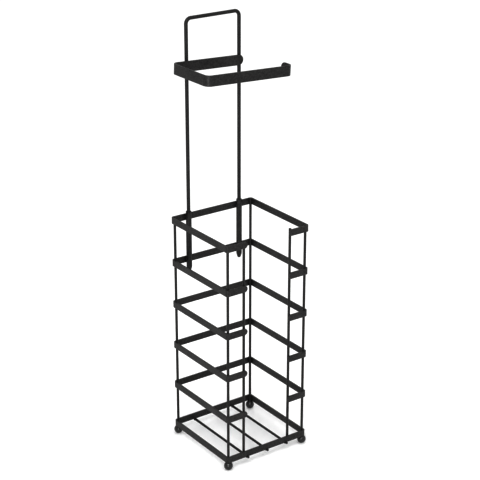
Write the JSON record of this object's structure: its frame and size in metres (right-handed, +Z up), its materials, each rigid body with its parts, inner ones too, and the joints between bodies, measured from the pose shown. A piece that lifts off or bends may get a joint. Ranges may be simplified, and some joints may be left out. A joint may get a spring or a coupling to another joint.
{
  "type": "toilet paper holder",
  "caption": "Free-standing toilet paper holder: a square tower of flat-bar rings on ball feet stores spare rolls, and a lift-off top frame carries an open roll arm and a loop handle.",
  "frame": {"origin": "on the floor, in the middle of the footprint between the four feet", "axes": "+Z up, +X towards the free end of the roll arm, -Y towards the open front of the tower"},
  "size_m": [0.1568, 0.1548, 0.6825],
  "materials": {
    "bar_coat": "satin black powder coat on flat bar, fine orange peel",
    "rod_coat": "satin black powder coat on round rod and tube, a little smoother",
    "foot_coat": "semi-gloss black powder coat on steel balls"
  },
  "bodies": {
    "tower": {"ring_1": "bar_coat", "ring_2": "bar_coat", "ring_3": "bar_coat", "ring_4": "bar_coat", "ring_5": "bar_coat", "base_ring": "bar_coat", "post_front_left": "rod_coat", "post_front_right": "rod_coat", "post_back_left": "rod_coat", "post_back_right": "rod_coat", "slot_post_left": "rod_coat", "slot_post_right": "rod_coat", "floor_wire_left": "rod_coat", "floor_wire_middle": "rod_coat", "floor_wire_right": "rod_coat", "sleeve_left": "rod_coat", "sleeve_right": "rod_coat", "foot_front_left": "foot_coat", "foot_front_right": "foot_coat", "foot_back_left": "foot_coat", "foot_back_right": "foot_coat"},
    "top_frame": {"top_rod": "rod_coat", "roll_arm": "bar_coat"}
  },
  "joints": [
    {"name": "lift_out", "type": "slide", "parent": "tower", "child": "top_frame", "axis": [0, 0, 1], "range_m": [0, 0.1]}
  ]
}
